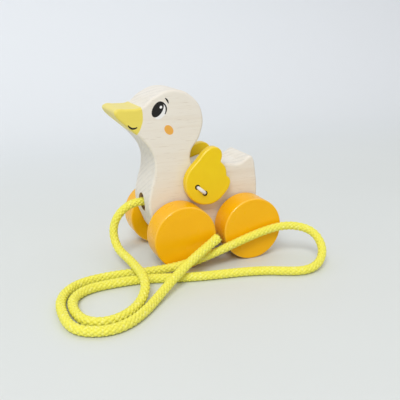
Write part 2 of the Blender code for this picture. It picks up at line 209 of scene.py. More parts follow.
class Wire:
    """A socket of a node tree: operators add Math nodes, and node() adds any other node."""

    def __init__(self, tree, socket):
        self.tree = tree
        self.socket = socket

    def node(self, kind, settings, inputs, output=0):
        item = self.tree.nodes.new(kind)
        for key, value in settings.items():
            setattr(item, key, value)
        for key, value in inputs.items():
            if isinstance(value, Wire):
                self.tree.links.new(value.socket, item.inputs[key])
            else:
                item.inputs[key].default_value = value
        return None if output is None else Wire(self.tree, item.outputs[output])

    def math(self, operation, *values):
        return self.node("ShaderNodeMath", {"operation": operation}, dict(enumerate(values)))

    def vector(self, operation, *values):
        return self.node("ShaderNodeVectorMath", {"operation": operation}, dict(enumerate(values)))

    def scaled(self, factor):
        return self.node("ShaderNodeVectorMath", {"operation": "SCALE"}, {0: self, "Scale": factor})

    def __add__(self, other):
        return self.math("ADD", self, other)

    def __sub__(self, other):
        return self.math("SUBTRACT", self, other)

    def __mul__(self, other):
        return self.math("MULTIPLY", self, other)

    def __rsub__(self, other):
        return self.math("SUBTRACT", other, self)

    def __truediv__(self, other):
        return self.math("DIVIDE", self, other)

    __radd__ = __add__
    __rmul__ = __mul__

    def size(self):
        return self.math("ABSOLUTE", self)

    def root(self):
        return self.math("SQRT", self)

    def most(self, other):
        return self.math("MAXIMUM", self, other)

    def rise(self, low, high):
        """0 below low, 1 above high, and a smooth step between."""
        return self.node("ShaderNodeMapRange", {"interpolation_type": "SMOOTHSTEP"},
                         {"Value": self, "From Min": low, "From Max": high})

    def mix(self, below, above):
        """The colour below where this is 0, and the colour above where it is 1."""
        return self.node("ShaderNodeMix", {"data_type": "RGBA"}, {0: self, 6: below, 7: above}, 2)

    def noise(self, scale, detail=2.0, roughness=0.5, seed=(0, 0, 0)):
        """Noise at this place, stretched by a scale for each axis."""
        stretched = self.node("ShaderNodeMapping", {},
                              {"Vector": self, "Scale": scale, "Location": seed})
        return self.node("ShaderNodeTexNoise", {},
                         {"Vector": stretched, "Scale": 1.0, "Detail": detail, "Roughness": roughness})

    def stored(self, name, output):
        """An attribute that the mesh carries."""
        return self.node("ShaderNodeAttribute", {"attribute_name": name}, {}, output)

    def axes(self):
        split = self.node("ShaderNodeSeparateXYZ", {}, {"Vector": self})
        return [Wire(self.tree, socket) for socket in split.socket.node.outputs]

    def bump(self, strength, depth):
        return self.node("ShaderNodeBump", {},
                         {"Strength": strength, "Distance": depth, "Height": self})


def colour(red, green, blue):
    return (red, green, blue, 1)


def new_finish(name):
    """A material, its shader, and the place on the piece that its pattern follows."""
    material = bpy.data.materials.new(name)
    material.use_nodes = True
    shader = material.node_tree.nodes["Principled BSDF"]
    source = material.node_tree.nodes.new("ShaderNodeTexCoord")
    return material, shader, Wire(material.node_tree, source.outputs["Object"])


def feed(shader, **sockets):
    for name, value in sockets.items():
        socket = shader.inputs[name.replace("_", " ")]
        if isinstance(value, Wire):
            value.tree.links.new(value.socket, socket)
        else:
            socket.default_value = value


def coat(mesh, *finishes):
    mesh.materials.clear()
    for finish in finishes:
        mesh.materials.append(finish)


# The wood shows through the whitewash in long faint streaks, and its growth rings as slanting lines
# where the saw cut across the grain. The beak is dipped in lemon paint up to a round edge, and the
# bores are bare wood, darker than the faces.
beak_paint_centre = (-45.5 * mm, 81.8 * mm)
beak_paint_radius = 15.8 * mm
beak_paint_wander = 0.35 * mm
paint_edge = 0.12 * mm
face_edge = 0.2 * mm
bore_edge = 0.25 * mm
bore_fade = 2 * mm
recess_fade = 1 * mm
pith = (-51 * mm, -34 * mm)
ring_width = 2.6 * mm
ring_wander = 4 * mm
board_finish, shader, at = new_finish("whitewashed_beech")
x, y, z = at.axes()
streaks = at.noise((16, 240, 300), detail=4, roughness=0.6).rise(0.42, 0.68)
fibres = at.noise((70, 1300, 1500), detail=2)
pores = at.noise((130, 1900, 2300), detail=1, seed=(3, 1, 7)).rise(0.64, 0.74)
patches = at.noise((22, 45, 40), detail=2, seed=(5, 2, 1)).rise(0.35, 0.7)
wood = (streaks * 0.36).mix(colour(0.785, 0.74, 0.65), colour(0.69, 0.605, 0.48))
wood = (patches * 0.35).mix(wood, colour(0.825, 0.79, 0.715))
sawn_edge = 1 - y.size().rise(board_half - board_edge, board_half - face_edge)
wood = (sawn_edge * 0.45).mix(wood, colour(0.785, 0.765, 0.71))
pith_y = y - pith[0]
pith_z = z - pith[1]
ring_run = (pith_y * pith_y + pith_z * pith_z).root()
ring_run = ring_run + (at.noise((30, 50, 50), detail=2) - 0.5) * ring_wander
rings = ring_run.math("FRACT", ring_run / ring_width).rise(0.35, 1)
rings = rings * at.noise((90, 120, 120), detail=2, seed=(1, 6, 2)).rise(0.3, 0.6)
wood = (rings * sawn_edge * 0.4).mix(wood, colour(0.58, 0.56, 0.52))
wood = (pores * 0.3).mix(wood, colour(0.45, 0.36, 0.26))
beak_x = x - beak_paint_centre[0]
beak_z = z - beak_paint_centre[1]
wander = (at.noise((400, 400, 400), detail=2) - 0.5) * beak_paint_wander
beak_edge = (beak_x * beak_x + beak_z * beak_z).root() + wander
beak = 1 - beak_edge.rise(beak_paint_radius - paint_edge, beak_paint_radius + paint_edge)
lemon = (streaks * 0.25).mix(colour(0.80, 0.67, 0.105), colour(0.74, 0.585, 0.07))
# The beak's sawn edges are painted a paler lemon: a painted sheen, standing in for the light on the
# beak's top.
lemon = (sawn_edge * 0.35).mix(lemon, colour(0.82, 0.73, 0.28))
bore_rise = (z - cord_mouth.z) * into_breast.x - (x - cord_mouth.x) * into_breast.z
in_cord_bore = 1 - (bore_rise * bore_rise + y * y).root().rise(cord_bore, cord_bore + bore_edge)
in_cord_bore = in_cord_bore * (1 - x.rise(recess_x, recess_x + bore_fade))
recess_side = x - recess_x
recess_run = (recess_side * recess_side + y * y).root()
in_recess = 1 - recess_run.rise(recess_radius, recess_radius + bore_edge)
in_recess = in_recess * (1 - z.rise(recess_top, recess_top + recess_fade))
bare = in_cord_bore.most(in_recess)
painted = beak.mix(wood, lemon)
drilled_wood = streaks.mix(colour(0.46, 0.30, 0.17), colour(0.34, 0.20, 0.10))
feed(shader, Base_Color=bare.mix(painted, drilled_wood),
     Roughness=0.58 - beak * 0.2 + fibres * 0.1,
     Normal=(fibres * 0.5 + streaks * 0.3 - pores * 0.5).bump(0.25, 0.12 * mm))
coat(body.data, board_finish)
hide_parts("duck_body")
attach(body, "duck")


# The printed face
# Flat ink printed on both sides of the head: an eye with a pale white and a glint, a lid line, a lash,
# an orange cheek and a thin smile across the beak.
print_depth = 0.03 * mm
round_steps = 64
stroke_steps = 25
cap_steps = 7


def ellipse(centre, long, short, tilt):
    points = []
    lean = math.radians(tilt)
    for turn in np.linspace(0, math.tau, round_steps, endpoint=False):
        along = long * math.cos(turn)
        aside = short * math.sin(turn)
        points.append(((centre[0] + along * math.cos(lean) - aside * math.sin(lean)) * mm,
                       (centre[1] + along * math.sin(lean) + aside * math.cos(lean)) * mm))
    return points


def stroke(points, width, taper):
    """A pen line through three points, thinner towards its ends by the taper."""
    first, middle, last = (np.array(p) * mm for p in points)
    t = np.linspace(0, 1, stroke_steps)[:, None]
    pull = 2 * middle - (first + last) / 2
    line = first * (1 - t) ** 2 + 2 * pull * t * (1 - t) + last * t ** 2
    along = np.gradient(line, axis=0)
    along /= np.linalg.norm(along, axis=1)[:, None]
    side = np.stack([-along[:, 1], along[:, 0]], 1)
    half = width * mm / 2 * (1 - taper * (2 * t - 1) ** 2)
    caps = []
    for end, way, reach in ((line[-1], along[-1], half[-1, 0]), (line[0], -along[0], half[0, 0])):
        turn = np.linspace(-math.pi / 2, math.pi / 2, cap_steps)[1:-1]
        left = np.array((-way[1], way[0]))
        caps.append([end + reach * (math.cos(a) * way + math.sin(a) * left) for a in turn])
    right_side = list(line - side * half)
    left_side = list((line + side * half)[::-1])
    return [tuple(p) for p in right_side + caps[0] + left_side + caps[1]]


def printed(name, outlines, layer, tint, roughness):
    """Thin flat patches of ink on both sides of the head, all of one colour."""
    work = bmesh.new()
    for outline in outlines:
        for sign in (-1, 1):
            points = outline if sign < 0 else outline[::-1]
            under = sign * (board_half - print_depth)
            face = work.faces.new([work.verts.new((px, under, pz)) for px, pz in points])
            grown = bmesh.ops.extrude_face_region(work, geom=[face])
            lifted = [v for v in grown["geom"] if isinstance(v, bmesh.types.BMVert)]
            lift = Vector((0, sign * print_depth * (1 + layer), 0))
            bmesh.ops.translate(work, verts=lifted, vec=lift)
    bmesh.ops.recalc_face_normals(work, faces=work.faces)
    mesh = bpy.data.meshes.new(name)
    work.to_mesh(mesh)
    work.free()
    item = place(name, mesh)
    ink, shader, at = new_finish(name + "_ink")
    speckle = at.noise((900, 900, 1500), detail=3).rise(0.5, 0.8)
    paler = tuple(0.9 * c + 0.08 for c in tint)
    feed(shader, Base_Color=(speckle * 0.2).mix(colour(*tint), colour(*paler)),
         Roughness=roughness + speckle * 0.1, Specular_IOR_Level=0.2)
    coat(mesh, ink)
    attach(item, "duck")


eye_tilt = 57
eye_white = ellipse((-20.05, 83.75), long=4.7, short=2.95, tilt=eye_tilt)
eye_pupil = ellipse((-21.65, 84.7), long=4.5, short=2.7, tilt=eye_tilt)
eye_glint = ellipse((-19.9, 85.75), long=0.75, short=0.65, tilt=eye_tilt)
lid = stroke([(-19.1, 88.3), (-17.05, 85.5), (-17.7, 82.1)], width=0.8, taper=0.5)
lash = stroke([(-17.4, 90.2), (-16.4, 89.1), (-15.8, 87.6)], width=0.85, taper=0.5)
smile = stroke([(-37.6, 77.2), (-35.6, 75.6), (-33.1, 75.95)], width=0.95, taper=0.4)
cheek = ellipse((-15.7, 73.6), long=2.9, short=2.15, tilt=-48)
printed("eye_whites", [eye_white], layer=1, tint=(0.84, 0.84, 0.83), roughness=0.5)
printed("eye_pupils", [eye_pupil], layer=2, tint=(0.014, 0.013, 0.012), roughness=0.38)
printed("eye_glints", [eye_glint], layer=3, tint=(0.88, 0.88, 0.88), roughness=0.45)
printed("ink_lines", [lid, lash, smile], layer=2, tint=(0.02, 0.018, 0.015), roughness=0.42)
printed("cheek_spots", [cheek], layer=1, tint=(0.81, 0.415, 0.08), roughness=0.5)


# The axles
# Two bare birch dowels that turn freely in the body's bores. A wheel is glued on each end, in a blind
# socket, so only the short gap between the body and a wheel shows any of the dowel.
dowel_finish, shader, at = new_finish("birch_dowel")
rings = at.noise((500, 25, 500), detail=3).rise(0.4, 0.7)
feed(shader, Base_Color=(rings * 0.7).mix(colour(0.72, 0.60, 0.44), colour(0.56, 0.42, 0.27)),
     Roughness=0.62 + rings * 0.1, Normal=rings.bump(0.2, 0.1 * mm))
for axle in ("front_axle", "rear_axle"):
    coat(frame["nodes"][axle].data, dowel_finish)


# The wheels
# Four plain turned discs, sealed with thick orange paint. The grain barely shows through it. The eased
# rims are paler, partly paint worn thin and partly a painted highlight. A blind socket in each inner
# face takes the axle's end.
wheel_edge = 1 * mm
wheel_socket = 4.3 * mm
socket_depth = 9 * mm
socket_lead = 0.7 * mm
wheel_steps = 112
rim_steps = 9


def mark_eased_edge(mesh, middle, half, edge):
    """Stores how far each point is round the eased edge between a face and the side, for the paint."""
    heights = np.empty(3 * len(mesh.vertices))
    mesh.vertices.foreach_get("co", heights)
    round_edge = np.clip((np.abs(heights[1::3] - middle) - half + edge) / edge, 0, 1)
    eased = mesh.attributes.new("eased_edge", "FLOAT", "POINT")
    eased.data.foreach_set("value", np.sin(math.pi * round_edge))


wheel_finish, shader, at = new_finish("orange_wheel_paint")
eased = at.stored("eased_edge", "Fac")
mottle = at.noise((120, 120, 120), detail=3).rise(0.35, 0.7)
grain = at.noise((900, 90, 1100), detail=3, roughness=0.6)
scuffs = at.noise((700, 700, 700), detail=4, roughness=0.7, seed=(2, 9, 4)).rise(0.70, 0.76)
orange = (mottle * 0.5).mix(colour(0.935, 0.485, 0.002), colour(0.905, 0.45, 0.001))
# Paler on the eased rims, partly paint worn thin and partly a painted highlight; the scuffs are real
# wear.
paler = (scuffs * 0.2).most(eased * 0.3)
feed(shader, Base_Color=paler.mix(orange, colour(0.93, 0.60, 0.10)),
     Roughness=0.27 + mottle * 0.07 + scuffs * 0.15,
     Normal=(grain * 0.6 + mottle).bump(0.08, 0.12 * mm),
     Specular_IOR_Level=0.2, Coat_Weight=0.05 + eased * 0.85, Coat_Roughness=0.12)
for node in ("front_left_wheel", "front_right_wheel", "rear_left_wheel", "rear_right_wheel"):
    low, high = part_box(node)
    centre = (low + high) / 2
    side = -1 if centre.y < 0 else 1
    inner, outer = sorted((abs(low.y), abs(high.y)))
    radius = (high.z - low.z) / 2
    rim = radius - wheel_edge
    profile = [(0, outer)]
    profile += arc((rim, outer - wheel_edge), wheel_edge, first=90, last=0, count=rim_steps)
    profile += arc((rim, inner + wheel_edge), wheel_edge, first=0, last=-90, count=rim_steps)
    profile += [(wheel_socket + socket_lead, inner), (wheel_socket, inner + socket_lead)]
    profile += [(wheel_socket, inner + socket_depth), (0, inner + socket_depth)]
    profile_edges = [(i, i + 1) for i in range(len(profile) - 1)]
    mesh = bpy.data.meshes.new(node + "_profile")
    mesh.from_pydata([(r, 0, h) for r, h in profile], profile_edges, [])
    spun = place(node + "_profile", mesh)
    spin = spun.modifiers.new("spin", "SCREW")
    spin.steps = spin.render_steps = wheel_steps
    spin.use_merge_vertices = True
    spin.merge_threshold = weld
    disc = settle(spun, "painted_" + node)
    upright = Matrix.Rotation(-side * math.pi / 2, 4, "X")
    disc.transform(Matrix.Translation((centre.x, 0, centre.z)) @ upright)
    wheel = even_shading(disc, "painted_" + node)
    mark_eased_edge(wheel.data, centre.y, (outer - inner) / 2, wheel_edge)
    coat(wheel.data, wheel_finish)
    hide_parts(node)
    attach(wheel, "front_wheels" if node.startswith("front") else "rear_wheels")


# The wings
# Two flat cut-outs of one outline, painted yellow, with two holes each for the elastic. The eased edges
# are paler, partly paint sanded thin and partly a painted highlight. The drilled holes are dark inside:
# their walls are near-black, partly raw wood and partly painted shade.
wing_half = 2.5 * mm
wing_edge = 1 * mm
wing_hole = 1.5 * mm
hole_wall = 1.515 * mm
lobe_centre = (4.4 * mm, 44.2 * mm)
lobe_radius = 12.8 * mm
stitch_centre = (0.55 * mm, 40.25 * mm)
stitch_length = 5.9 * mm
stitch_slope = math.radians(-41)
slack_turn = {"left": 0, "right": math.radians(26)}
slack_lift = {"left": 0, "right": 1.2 * mm}

lobe = arc(lobe_centre, lobe_radius, first=160, last=322, count=7)
wing_front = [(-0.6 * mm, 57.4 * mm), (3.9 * mm, 62.0 * mm)]
wing_tip = [(7.8 * mm, 63.6 * mm), (11.7 * mm, 62.2 * mm), (13.1 * mm, 59.0 * mm)]
scallops = [(12.4 * mm, 55.2 * mm, "corner"), (15.3 * mm, 51.4 * mm, "smooth"),
            (16.0 * mm, 47.0 * mm, "corner"), (18.0 * mm, 44.8 * mm, "smooth"),
            (18.0 * mm, 41.6 * mm, "smooth")]
wing_outline = [(x, z, "smooth") for x, z in wing_front + wing_tip] + scallops
wing_outline += [(x, z, "smooth") for x, z in reversed(lobe)]
wing_outline = [(x - stitch_centre[0], z - stitch_centre[1], kind) for x, z, kind in wing_outline]
half_stitch = Vector((math.cos(stitch_slope), 0, math.sin(stitch_slope))) * stitch_length / 2
through = Vector((0, 2 * wing_half, 0))
wing_bores = [(end - through, end + through, wing_hole) for end in (-half_stitch, half_stitch)]

wing_finish, shader, at = new_finish("yellow_wing_paint")
mottle = at.noise((150, 150, 150), detail=3).rise(0.35, 0.7)
grain = at.noise((90, 700, 1100), detail=3, roughness=0.6)
specks = at.noise((800, 800, 800), detail=3, roughness=0.7, seed=(4, 4, 1)).rise(0.70, 0.76)
eased = at.stored("eased_edge", "Fac")
yellow = (mottle * 0.5).mix(colour(0.85, 0.60, 0.002), colour(0.82, 0.56, 0.001))
# Paler on the eased edges, partly paint sanded thin and partly a painted highlight; the specks are real
# wear.
paler = (specks * 0.3).most(eased * 0.25)
feed(shader, Base_Color=paler.mix(yellow, colour(0.88, 0.70, 0.16)),
     Roughness=0.28 + mottle * 0.07, Normal=(grain * 0.6 + mottle).bump(0.08, 0.12 * mm),
     Specular_IOR_Level=0.25, Coat_Weight=0.05 + eased * 0.85, Coat_Roughness=0.12)
# The hole walls are near-black brown: partly raw drilled wood, partly painted shade for the dark inside
# of the holes.
raw_and_shaded_hole, shader, at = new_finish("drilled_hole")
hole_mottle = at.noise((900, 900, 900))
feed(shader, Base_Color=hole_mottle.mix(colour(0.15, 0.07, 0.008), colour(0.08, 0.036, 0.005)),
     Roughness=0.9, Specular_IOR_Level=0.05)

for side in ("left", "right"):
    node = side + "_wing"
    low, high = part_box(node)
    mesh = sawn("painted_" + node, wing_outline, wing_half, wing_edge, wing_bores)
    middle = Vector((stitch_centre[0], (low.y + high.y) / 2, stitch_centre[1] + slack_lift[side]))
    slack = Matrix.Rotation(slack_turn[side], 4, "Y")
    mesh.transform(Matrix.Translation(middle) @ slack)
    wing = even_shading(mesh, "painted_" + node)
    mark_eased_edge(wing.data, middle.y, wing_half, wing_edge)
    coat(wing.data, wing_finish, raw_and_shaded_hole)
    turned_stitch = slack @ half_stitch
    for face in wing.data.polygons:
        for end in (-turned_stitch, turned_stitch):
            away = face.center - middle - end
            if math.hypot(away.x, away.z) < hole_wall and abs(face.normal.y) < 0.5:
                face.material_index = 1
    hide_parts(node)
    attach(wing, node)


# The elastic
# One loop of white covered elastic sews both wings to the body. Each half is a stitch over its wing,
# with two legs through the wing into the body's bores, where they meet the other half's legs. Below
# the wing's outer face it is painted dark brown: painted shade down in the holes.
elastic_diameter = 2 * mm
touch_gap = 0.3 * mm
# Shares of the way from the stitch's middle to a hole: where the taut leg runs, and where it lies flat.
elastic_pull = 0.83
stitch_top = 0.6
bore_run = 5 * mm
wing_lead = 0.5 * mm
knee_depth = 0.6 * mm
shaded_below = 0.9 * mm
unshaded_above = 0.3 * mm


def smooth_line(points, spacing, steps_between=40):
    """Evenly spaced points on the natural cubic curve through a list of points."""
    knots = np.array(points, float)
    chord = np.linalg.norm(np.diff(knots, axis=0), axis=1)
    at = np.concatenate([[0], np.cumsum(chord)])
    count = len(knots)
    system = np.eye(count)
    right = np.zeros((count, 3))
    for i in range(1, count - 1):
        system[i, i - 1:i + 2] = chord[i - 1], 2 * (chord[i - 1] + chord[i]), chord[i]
        right[i] = 6 * ((knots[i + 1] - knots[i]) / chord[i] - (knots[i] - knots[i - 1]) / chord[i - 1])
    bend = np.linalg.solve(system, right)
    fine = np.linspace(0, at[-1], steps_between * count)
    k = np.clip(np.searchsorted(at, fine, side="right") - 1, 0, count - 2)
    before = (at[k + 1] - fine)[:, None]
    after = (fine - at[k])[:, None]
    h = chord[k][:, None]
    line = (bend[k] * before ** 3 + bend[k + 1] * after ** 3) / (6 * h)
    line += (knots[k] / h - bend[k] * h / 6) * before
    line += (knots[k + 1] / h - bend[k + 1] * h / 6) * after
    run = np.concatenate([[0], np.cumsum(np.linalg.norm(np.diff(line, axis=0), axis=1))])
    even = np.linspace(0, run[-1], max(2, round(run[-1] / spacing) + 1))
    return np.stack([np.interp(even, run, line[:, axis]) for axis in range(3)], 1)


def round_braid():
    """Nodes that braid yarns round a core: half wind each way, each over one and under the next.

    A number of loose fibres can stand out of the cut at the path's last end."""
    flare_length = 4 * mm
    fibre_spread = 0.42
    fibre_curl = 0.45
    tree = bpy.data.node_groups.new("round_braid", "GeometryNodeTree")
    tree.interface.new_socket("Path", in_out="INPUT", socket_type="NodeSocketGeometry")
    for size in ("Diameter", "Pitch", "Step", "Yarn width", "Yarn height", "Wave", "Flare",
                 "Fibre length", "Fibre radius"):
        tree.interface.new_socket(size, in_out="INPUT", socket_type="NodeSocketFloat")
    for count in ("Pairs", "Loose fibres"):
        tree.interface.new_socket(count, in_out="INPUT", socket_type="NodeSocketInt")
    tree.interface.new_socket("Finish", in_out="INPUT", socket_type="NodeSocketMaterial")
    tree.interface.new_socket("Braid", in_out="OUTPUT", socket_type="NodeSocketGeometry")
    given = {socket.name: Wire(tree, socket) for socket in tree.nodes.new("NodeGroupInput").outputs}
    path = given["Path"]
    pairs = given["Pairs"]
    pitch = given["Pitch"]
    height = given["Yarn height"]

    def joined(**axes):
        return path.node("ShaderNodeCombineXYZ", {}, axes)

    def keep(geometry, name, value, kind="FLOAT_VECTOR"):
        return path.node("GeometryNodeStoreNamedAttribute", {"data_type": kind, "domain": "POINT"},
                         {"Geometry": geometry, "Name": name, "Value": value})

    def chance(low, high, seed):
        return path.node("FunctionNodeRandomValue", {"data_type": "FLOAT"},
                         {2: low, 3: high, 8: seed}, 1)

    def swung(ahead, first, turn):
        second = ahead.vector("CROSS_PRODUCT", ahead, first)
        return ahead.vector("ADD", first.scaled(turn.math("COSINE", turn)),
                            second.scaled(turn.math("SINE", turn)))

    line = path.node("GeometryNodeMeshToCurve", {}, {"Mesh": path})
    line = path.node("GeometryNodeResampleCurve", {"mode": "LENGTH"},
                     {"Curve": line, "Length": given["Step"]})
    line = path.node("GeometryNodeSetCurveNormal", {"mode": "MINIMUM_TWIST"}, {"Curve": line})
    tight = path.node("GeometryNodeInputRadius", {}, {})
    run = path.node("GeometryNodeSplineParameter", {}, {}, "Length")
    whole = path.node("GeometryNodeSplineLength", {}, {})

    yarns = path.node("GeometryNodeDuplicateElements", {"domain": "SPLINE"},
                      {"Geometry": line, "Amount": pairs * 2})
    number = Wire(tree, yarns.socket.node.outputs["Duplicate Index"])
    way = 1 - 2 * number.math("MODULO", number, 2)
    turn = math.tau * ((number / 2).math("FLOOR", number / 2) / pairs + way * run / pitch)
    ahead = path.node("GeometryNodeInputTangent", {}, {})
    first = path.node("GeometryNodeInputNormal", {}, {})
    outward = swung(ahead, first, turn)
    beat = math.tau * run * pairs / pitch
    crown = way * beat.math("COSINE", beat)
    yarns = keep(yarns, "yarn_outward", outward)
    yarns = keep(yarns, "yarn_place", joined(X=run, Y=number, Z=0.5 + crown * 0.5))
    outward = path.node("GeometryNodeInputNamedAttribute", {"data_type": "FLOAT_VECTOR"},
                        {"Name": "yarn_outward"})
    spread = given["Flare"] * (run - whole).rise(-flare_length, 0)
    lift = (given["Diameter"] * 0.5 - height - given["Wave"] + crown * given["Wave"]) * tight + spread
    yarns = path.node("GeometryNodeSetPosition", {}, {"Geometry": yarns, "Offset": outward.scaled(lift)})
    yarns = path.node("GeometryNodeSetCurveNormal", {"mode": "FREE"},
                      {"Curve": yarns, "Normal": outward})
    yarns = path.node("GeometryNodeRemoveAttribute", {}, {"Geometry": yarns, "Name": "yarn_outward"})

    cut = path.node("GeometryNodeSampleCurve", {"mode": "FACTOR"},
                    {"Curves": line, "Factor": 1.0}, "Position")
    cut_ahead = Wire(tree, cut.socket.node.outputs["Tangent"])
    cut_side = Wire(tree, cut.socket.node.outputs["Normal"])
    from_core = chance(0.0, 1.0, 1).root()
    sideways = swung(cut_ahead, cut_side, chance(0.0, math.tau, 2))
    root = cut.vector("ADD", cut, sideways.scaled(from_core * given["Diameter"] * fibre_spread))
    roots = path.node("GeometryNodePoints", {}, {"Count": given["Loose fibres"], "Position": root})
    part = path.node("GeometryNodeSplineParameter", {}, {}, "Factor")
    fibre = path.node("GeometryNodeCurvePrimitiveLine", {}, {"End": (0, 0, 1)})
    fibre = path.node("GeometryNodeResampleCurve", {"mode": "COUNT"}, {"Curve": fibre, "Count": 6})
    curl = joined(X=part * part * fibre_curl)
    fibre = path.node("GeometryNodeSetPosition", {}, {"Geometry": fibre, "Offset": curl})
    fibre = keep(fibre, "yarn_place", (0, 0, 0.9))
    roll = path.node("FunctionNodeEulerToRotation", {}, {"Euler": joined(Z=chance(0.0, math.tau, 3))})
    aim = cut.vector("ADD", cut_ahead, sideways.scaled(from_core * chance(0.1, 0.5, 4)))
    aim = path.node("FunctionNodeAlignRotationToVector", {"axis": "Z"},
                    {"Rotation": roll, "Vector": aim})
    length = given["Fibre length"] * chance(0.3, 1.0, 5)
    fibres = path.node("GeometryNodeInstanceOnPoints", {},
                       {"Points": roots, "Instance": fibre, "Rotation": aim,
                        "Scale": joined(X=length, Y=length, Z=length)})
    fibres = path.node("GeometryNodeRealizeInstances", {}, {"Geometry": fibres})

    def swept(curve, sides, deep, wide, scale):
        section = path.node("GeometryNodeCurvePrimitiveCircle", {},
                            {"Resolution": sides, "Radius": 1.0})
        across = path.node("GeometryNodeInputPosition", {}, {}).axes()[1]
        section = keep(section, "yarn_across", across, "FLOAT")
        section = path.node("GeometryNodeTransform", {},
                            {"Geometry": section, "Scale": joined(X=deep, Y=wide, Z=1.0)})
        return path.node("GeometryNodeCurveToMesh", {},
                         {"Curve": curve, "Profile Curve": section, "Scale": scale,
                          "Fill Caps": True})

    core = given["Diameter"] * 0.5 - 2 * given["Wave"] - height
    fibre_radius = given["Fibre radius"]
    strands = [swept(line, 10, core, core, tight),
               swept(yarns, 6, height, given["Yarn width"], tight),
               swept(fibres, 4, fibre_radius, fibre_radius, 1.0)]
    braid = path.node("GeometryNodeJoinGeometry", {}, {"Geometry": strands[0]})
    for strand in strands[1:]:
        tree.links.new(strand.socket, braid.socket.node.inputs[0])
    braid = path.node("GeometryNodeSetShadeSmooth", {}, {"Geometry": braid})
    braid = path.node("GeometryNodeRealizeInstances", {}, {"Geometry": braid})
    braid = path.node("GeometryNodeSetMaterial", {}, {"Geometry": braid, "Material": given["Finish"]})
    path.node("NodeGroupOutput", {}, {"Braid": braid}, None)
    return tree


def braided(name, line, finish, tightness=None, **sizes):
    """A braid along a line of points, as a plain mesh."""
    mesh = bpy.data.meshes.new(name + "_path")
    mesh.from_pydata([tuple(p) for p in line], [(i, i + 1) for i in range(len(line) - 1)], [])
    radius = mesh.attributes.new("radius", "FLOAT", "POINT")
    radius.data.foreach_set("value", np.ones(len(line)) if tightness is None else tightness)
    item = place(name + "_path", mesh)
    weave = item.modifiers.new("braid", "NODES")
    weave.node_group = braid_nodes
    values = sizes | {"Finish": finish}
    for socket in braid_nodes.interface.items_tree:
        if socket.in_out == "INPUT" and socket.name in values:
            weave[socket.identifier] = values[socket.name]
    return place(name, settle(item, name))


braid_nodes = round_braid()
elastic_braid = {"Diameter": elastic_diameter, "Pairs": 6, "Pitch": 6 * mm, "Step": 0.25 * mm,
                 "Yarn width": 0.36 * mm, "Yarn height": 0.24 * mm, "Wave": 0.08 * mm,
                 "Flare": 0.0, "Loose fibres": 0}
elastic_finish, shader, at = new_finish("white_elastic_cover")
fuzz = at.noise((2500, 2500, 2500), detail=2)
wing_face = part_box("right_wing")[1].y
# Below the wing's outer face the elastic is painted dark brown: painted shade inside the holes.
outside = at.axes()[1].size().rise(wing_face - shaded_below, wing_face + unshaded_above)
white = fuzz.mix(colour(0.72, 0.71, 0.68), colour(0.88, 0.87, 0.84))
feed(shader, Base_Color=outside.mix(colour(0.22, 0.13, 0.04), white), Roughness=0.8,
     Normal=fuzz.bump(0.3, 0.1 * mm))
for side, sign, strand in (("left", -1, "elastic_upper_strand"), ("right", 1, "elastic_lower_strand")):
    low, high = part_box(side + "_wing")
    inner, outer = sorted((abs(low.y), abs(high.y)))
    middle = Vector((stitch_centre[0], 0, stitch_centre[1] + slack_lift[side]))
    turned_stitch = Matrix.Rotation(slack_turn[side], 4, "Y") @ half_stitch
    over = outer + touch_gap + elastic_diameter / 2
    elastic_path = []
    for end, (bore_x, bore_z) in zip((-1, 1), elastic_bores):
        hole = middle + turned_stitch * end * elastic_pull
        top = middle + turned_stitch * end * stitch_top
        leg = [(bore_x, sign * touch_gap / 2, bore_z),
               (bore_x, sign * bore_run, bore_z),
               (hole.x, sign * (inner + wing_lead), hole.z),
               (hole.x, sign * (outer - knee_depth), hole.z),
               (top.x, sign * over, top.z)]
        elastic_path += leg if end < 0 else leg[::-1]
    elastic_line = smooth_line(elastic_path, spacing=0.3 * mm)
    elastic = braided(side + "_elastic", elastic_line, elastic_finish, **elastic_braid)
    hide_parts(side + "_wing_stitch", strand)
    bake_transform(elastic)


# The pull cord
# Lemon-yellow round braid of shiny synthetic yarn, cut off plain at the far end, where it has frayed and
# come a little loose. It leaves the breast, drops over its own strands, and lies in two nested loops
# and a third that leans on the rear wheel.
cord_diameter = 4.5 * mm
cord_crowns = 4.9 * mm
cord_split = 8 * mm
cord_spacing = 0.5 * mm
loose_length = 40 * mm
loose_swell = 0.08
floor_gap = 0.03 * mm
cord_route = [
    (-28.0, 0.0, 31.9), (-34.5, 0.0, 30.8), (-41.0, 0.0, 25.9), (-44.6, -0.8, 17.5),
    (-44.5, -5.0, 11.0), (-42.7, -19.0, 8.2), (-41.4, -33.0, 7.6), (-41.4, -43.0, 7.4),
    (-43.6, -54.0, 5.2), (-48.2, -61.2, 3.1), (-54.6, -67.8, 2.4), (-62.0, -72.2, 2.3),
    (-69.0, -72.9, 2.3), (-75.0, -69.2, 2.3), (-78.0, -60.8, 2.3), (-78.0, -51.6, 2.3),
    (-74.8, -43.6, 2.3), (-67.4, -38.2, 2.3), (-57.0, -36.4, 2.3), (-39.6, -37.2, 2.3),
    (-17.4, -43.7, 2.3), (27.5, -53.6, 2.3), (42.0, -59.2, 2.5), (52.5, -56.8, 3.8),
    (59.8, -49.2, 9.1), (59.1, -39.6, 15.2), (50.2, -33.2, 17.8), (36.5, -32.0, 17.3),
    (18.1, -32.1, 12.9), (-19.7, -32.6, 4.3), (-38.3, -28.4, 2.4), (-56.0, -27.2, 2.3),
    (-72.4, -31.6, 2.3), (-82.0, -45.0, 2.3), (-83.7, -60.0, 2.3), (-79.8, -75.6, 2.3),
    (-69.0, -80.6, 2.3), (-42.3, -63.7, 2.8), (-19.3, -44.6, 8.8), (4.0, -32.5, 16.5),
]
cord_start = cord_mouth + into_breast * cord_split
cord_points = [tuple(cord_start)] + [tuple(Vector(p) * mm) for p in cord_route]
cord_line = smooth_line(cord_points, cord_spacing)
